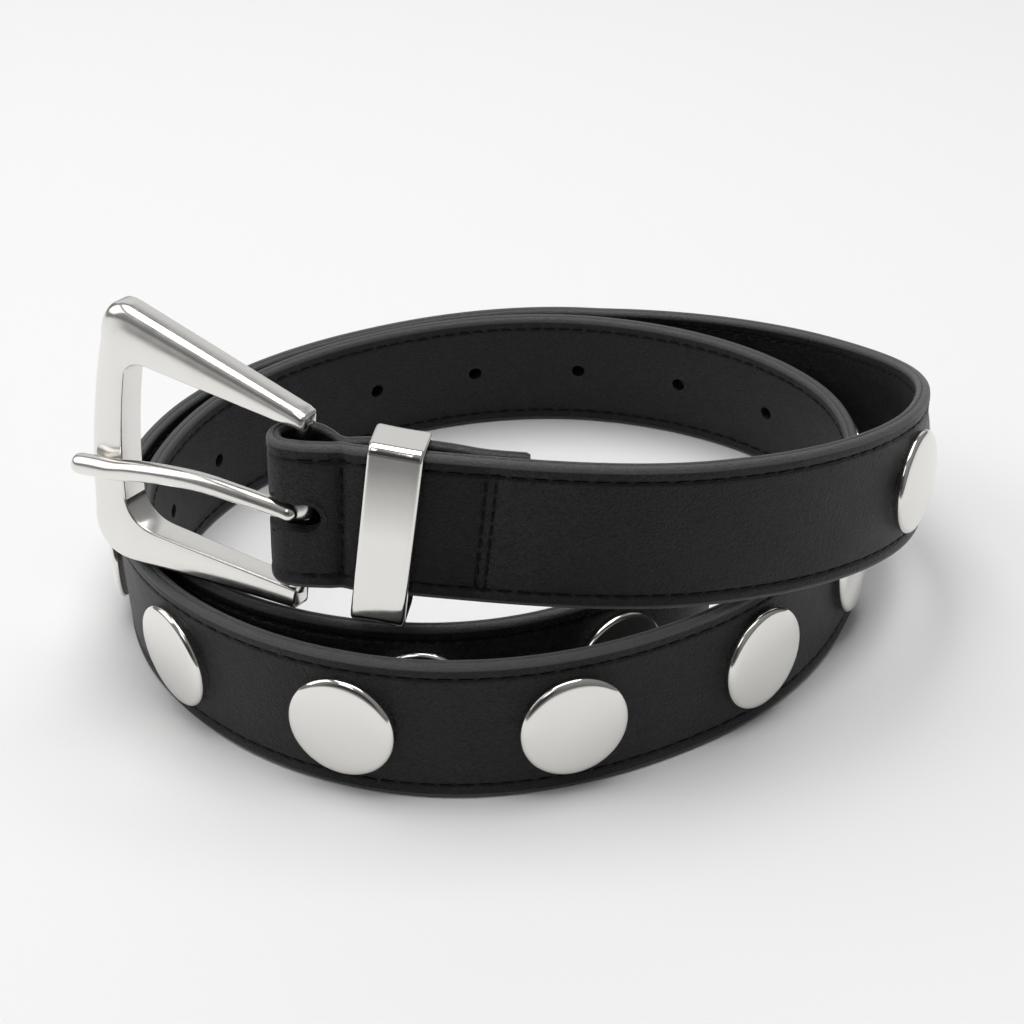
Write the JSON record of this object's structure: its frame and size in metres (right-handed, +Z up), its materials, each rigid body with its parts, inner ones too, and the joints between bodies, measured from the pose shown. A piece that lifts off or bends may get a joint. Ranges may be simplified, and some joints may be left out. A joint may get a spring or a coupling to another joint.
{
  "type": "studded belt",
  "caption": "Narrow black leather belt with round domed metal studs, a four-sided metal buckle and a metal keeper, lying coiled on the floor.",
  "frame": {"origin": "on the floor, under the centre of the belt's box", "axes": "+Z up from the floor; the picture looks along +Y from the front; +X to the picture's right"},
  "size_m": [0.1772, 0.1746, 0.0854],
  "materials": {
    "black_leather": "fine-grained black coated leather, half matt",
    "polished_nickel": "polished nickel plate, slightly warm"
  },
  "bodies": {
    "strap": {"strap": "black_leather", "stud_01": "polished_nickel", "stud_02": "polished_nickel", "stud_03": "polished_nickel", "stud_04": "polished_nickel", "stud_05": "polished_nickel", "stud_06": "polished_nickel", "stud_07": "polished_nickel", "stud_08": "polished_nickel", "stud_09": "polished_nickel", "stud_10": "polished_nickel", "stud_11": "polished_nickel", "stud_12": "polished_nickel", "stud_13": "polished_nickel", "stud_14": "polished_nickel", "stud_tail_1": "polished_nickel", "stud_tail_2": "polished_nickel"},
    "buckle": {"buckle_frame": "polished_nickel"},
    "prong": {"prong": "polished_nickel"},
    "keeper": {"keeper": "polished_nickel"}
  },
  "joints": [
    {"name": "buckle_swing", "type": "hinge", "parent": "strap", "child": "buckle", "pos_m": [-0.04134, -0.06857, 0.05452], "axis": [0.0804, -0.0522, 0.9954], "range_deg": [-118, 25]},
    {"name": "prong_swing", "type": "hinge", "parent": "buckle", "child": "prong", "pos_m": [-0.04134, -0.06857, 0.05452], "axis": [0.0804, -0.0522, 0.9954], "range_deg": [0, 45]},
    {"name": "keeper_slide", "type": "slide", "parent": "strap", "child": "keeper", "axis": [0.9953, -0.0778, -0.0572], "range_m": [-0.002, 0.0125]}
  ]
}
